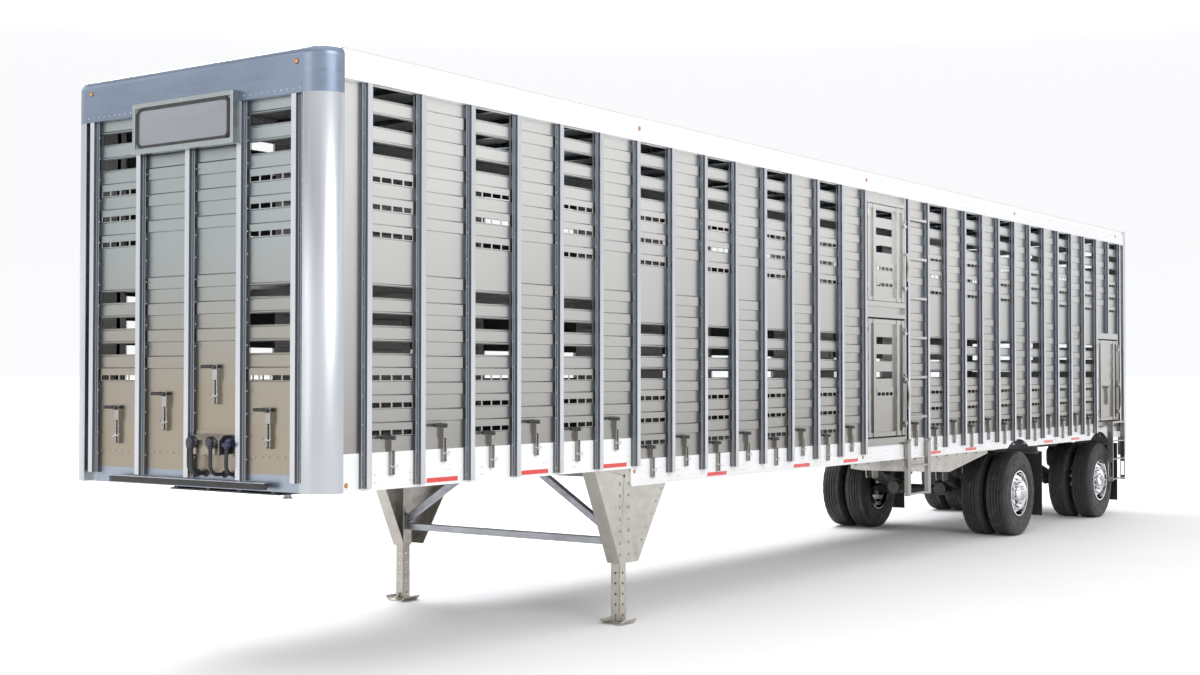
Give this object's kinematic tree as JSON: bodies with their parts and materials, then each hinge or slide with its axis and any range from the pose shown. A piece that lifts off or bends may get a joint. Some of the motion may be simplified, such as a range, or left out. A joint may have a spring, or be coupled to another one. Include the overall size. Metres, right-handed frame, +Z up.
{
  "type": "livestock trailer",
  "caption": "Two-deck livestock semi-trailer with punched side panels between upright posts, side doors, ladder, landing legs and spread tandem axles on dual wheels.",
  "frame": {"origin": "middle of the footprint, on the ground under the tyres and landing feet", "axes": "+X towards the rear doors, +Y towards the trailer's right side (the side without the ladder), +Z up; the front wall and kingpin are at -X"},
  "size_m": [16.314, 2.719, 4.115],
  "materials": {
    "alu_sheet": "mill finish, light grey",
    "alu_post": "extruded, blue-grey",
    "white_rail": "gloss white",
    "deck_alu": "ribbed plank",
    "steel_dark": "satin black",
    "steel_grey": "worn grey",
    "beige_steel": "dusty bare metal",
    "polished_alu": "polished",
    "tyre": "treaded",
    "rubber": "matt black",
    "plastic_black": "matt",
    "amber": "clear coloured",
    "red_tape": "reflective",
    "sign_grey": "satin"
  },
  "bodies": {
    "trailer": {"floor_deck": "deck_alu", "cross_members": "alu_sheet", "coupler_plate": "steel_dark", "kingpin": "steel_grey", "lower_rails": "white_rail", "top_rails": "white_rail", "upper_deck": "deck_alu", "roof_sheet": "white_rail", "roof_bows": "alu_sheet", "front_cap": "alu_post", "front_frame": "alu_post", "wall_posts": "alu_post", "vent_panels": "alu_sheet", "ribbed_panels": "alu_sheet", "vent_guides": "alu_sheet", "sign_box": "sign_grey", "nose_box": "plastic_black", "gladhands": "plastic_black", "air_hoses": "rubber", "bumper_bar": "rubber", "door_frames": "alu_sheet", "ladders": "alu_sheet", "rear_frame": "alu_post", "leg_housings": "beige_steel", "leg_braces": "steel_grey", "subframe": "beige_steel", "mud_flaps": "rubber", "marker_lamps": "amber", "tape_strips": "red_tape", "rivets": "alu_post", "air_springs_1": "rubber", "air_springs_2": "rubber"},
    "door_upper": {"door_upper": "alu_sheet"},
    "latch_upper": {"latch_upper": "alu_sheet"},
    "door_lower": {"door_lower": "alu_sheet"},
    "latch_lower": {"latch_lower": "alu_sheet"},
    "door_rear_side": {"door_rear_side": "alu_sheet"},
    "latch_rear_side": {"latch_rear_side": "alu_sheet"},
    "rear_door_left": {"rear_door_left": "alu_sheet"},
    "rear_door_right": {"rear_door_right": "alu_sheet"},
    "lock_rod_left": {"lock_rod_left": "steel_grey"},
    "lock_rod_right": {"lock_rod_right": "steel_grey"},
    "shutters_left": {"shutters_left": "steel_dark"},
    "shutters_right": {"shutters_right": "steel_dark"},
    "shutters_front": {"shutters_front": "steel_dark"},
    "landing_leg_left": {"landing_leg_left": "steel_grey"},
    "landing_leg_right": {"landing_leg_right": "steel_grey"},
    "landing_crank": {"landing_crank": "steel_grey"},
    "lower_ladder": {"lower_ladder": "alu_sheet"},
    "axle_1": {"axle_1": "steel_dark"},
    "axle_2": {"axle_2": "steel_dark"},
    "wheel_1_left": {"tyres_1_left": "tyre", "rims_1_left": "polished_alu"},
    "wheel_1_right": {"tyres_1_right": "tyre", "rims_1_right": "polished_alu"},
    "wheel_2_left": {"tyres_2_left": "tyre", "rims_2_left": "polished_alu"},
    "wheel_2_right": {"tyres_2_right": "tyre", "rims_2_right": "polished_alu"}
  },
  "joints": [
    {"name": "upper_side_door", "type": "hinge", "parent": "trailer", "child": "door_upper", "pos_m": [-0.373, -1.291, 3.29], "axis": [0, 0, -1], "range_deg": [0, 165]},
    {"name": "lower_side_door", "type": "hinge", "parent": "trailer", "child": "door_lower", "pos_m": [-0.373, -1.291, 1.98], "axis": [0, 0, -1], "range_deg": [0, 165]},
    {"name": "rear_side_door", "type": "hinge", "parent": "trailer", "child": "door_rear_side", "pos_m": [6.851, -1.291, 1.93], "axis": [0, 0, -1], "range_deg": [0, 165]},
    {"name": "upper_latch_turn", "type": "hinge", "parent": "door_upper", "child": "latch_upper", "pos_m": [0.496, -1.296, 3.28], "axis": [0, 0, -1], "range_deg": [0, 90]},
    {"name": "lower_latch_turn", "type": "hinge", "parent": "door_lower", "child": "latch_lower", "pos_m": [0.496, -1.296, 1.98], "axis": [0, 0, -1], "range_deg": [0, 90]},
    {"name": "rear_latch_turn", "type": "hinge", "parent": "door_rear_side", "child": "latch_rear_side", "pos_m": [7.72, -1.296, 1.94], "axis": [0, 0, -1], "range_deg": [0, 90]},
    {"name": "rear_door_left_swing", "type": "hinge", "parent": "trailer", "child": "rear_door_left", "pos_m": [8.092, -1.206, 2.6], "axis": [0, 0, -1], "range_deg": [0, 170]},
    {"name": "rear_door_right_swing", "type": "hinge", "parent": "trailer", "child": "rear_door_right", "pos_m": [8.092, 1.206, 2.6], "axis": [0, 0, 1], "range_deg": [0, 170]},
    {"name": "lock_rod_left_turn", "type": "hinge", "parent": "rear_door_left", "child": "lock_rod_left", "pos_m": [8.099, -0.82, 2.6], "axis": [0, 0, -1], "range_deg": [0, 90]},
    {"name": "lock_rod_right_turn", "type": "hinge", "parent": "rear_door_right", "child": "lock_rod_right", "pos_m": [8.099, 0.82, 2.6], "axis": [0, 0, 1], "range_deg": [0, 90]},
    {"name": "shutters_left_slide", "type": "slide", "parent": "trailer", "child": "shutters_left", "axis": [0, 0, -1], "range_m": [0, 0.084]},
    {"name": "shutters_right_slide", "type": "slide", "parent": "trailer", "child": "shutters_right", "axis": [0, 0, -1], "range_m": [0, 0.084]},
    {"name": "shutters_front_slide", "type": "slide", "parent": "trailer", "child": "shutters_front", "axis": [0, 0, -1], "range_m": [0, 0.084]},
    {"name": "crank_turn", "type": "hinge", "parent": "trailer", "child": "landing_crank", "pos_m": [-4.683, 1.29, 1.19], "axis": [0, 1, 0], "range_deg": [0, 2160]},
    {"name": "leg_left_slide", "type": "slide", "parent": "trailer", "child": "landing_leg_left", "axis": [0, 0, 1], "range_m": [0, 0.3]},
    {"name": "leg_right_slide", "type": "slide", "parent": "trailer", "child": "landing_leg_right", "axis": [0, 0, 1], "range_m": [0, 0.3]},
    {"name": "lower_ladder_fold", "type": "hinge", "parent": "trailer", "child": "lower_ladder", "pos_m": [0.927, -1.3, 1.302], "axis": [-1, 0, 0], "range_deg": [0, 170]},
    {"name": "axle_1_swing", "type": "hinge", "parent": "trailer", "child": "axle_1", "pos_m": [3.307, 0, 0.76], "axis": [0, 1, 0], "range_deg": [0, 3], "deforming": ["air_springs_1"]},
    {"name": "wheel_1_left_spin", "type": "hinge", "parent": "axle_1", "child": "wheel_1_left", "pos_m": [3.927, -0.965, 0.525], "axis": [0, 1, 0], "continuous": true},
    {"name": "wheel_1_right_spin", "type": "hinge", "parent": "axle_1", "child": "wheel_1_right", "pos_m": [3.927, 0.965, 0.525], "axis": [0, 1, 0], "continuous": true},
    {"name": "axle_2_swing", "type": "hinge", "parent": "trailer", "child": "axle_2", "pos_m": [6.407, 0, 0.76], "axis": [0, 1, 0], "range_deg": [0, 3], "deforming": ["air_springs_2"]},
    {"name": "wheel_2_left_spin", "type": "hinge", "parent": "axle_2", "child": "wheel_2_left", "pos_m": [7.027, -0.965, 0.525], "axis": [0, 1, 0], "continuous": true},
    {"name": "wheel_2_right_spin", "type": "hinge", "parent": "axle_2", "child": "wheel_2_right", "pos_m": [7.027, 0.965, 0.525], "axis": [0, 1, 0], "continuous": true}
  ],
  "couplings": [
    {"joint": "leg_left_slide", "follows": "crank_turn", "m_per_rad": 0.0079577},
    {"joint": "leg_right_slide", "follows": "crank_turn", "m_per_rad": 0.0079577}
  ]
}
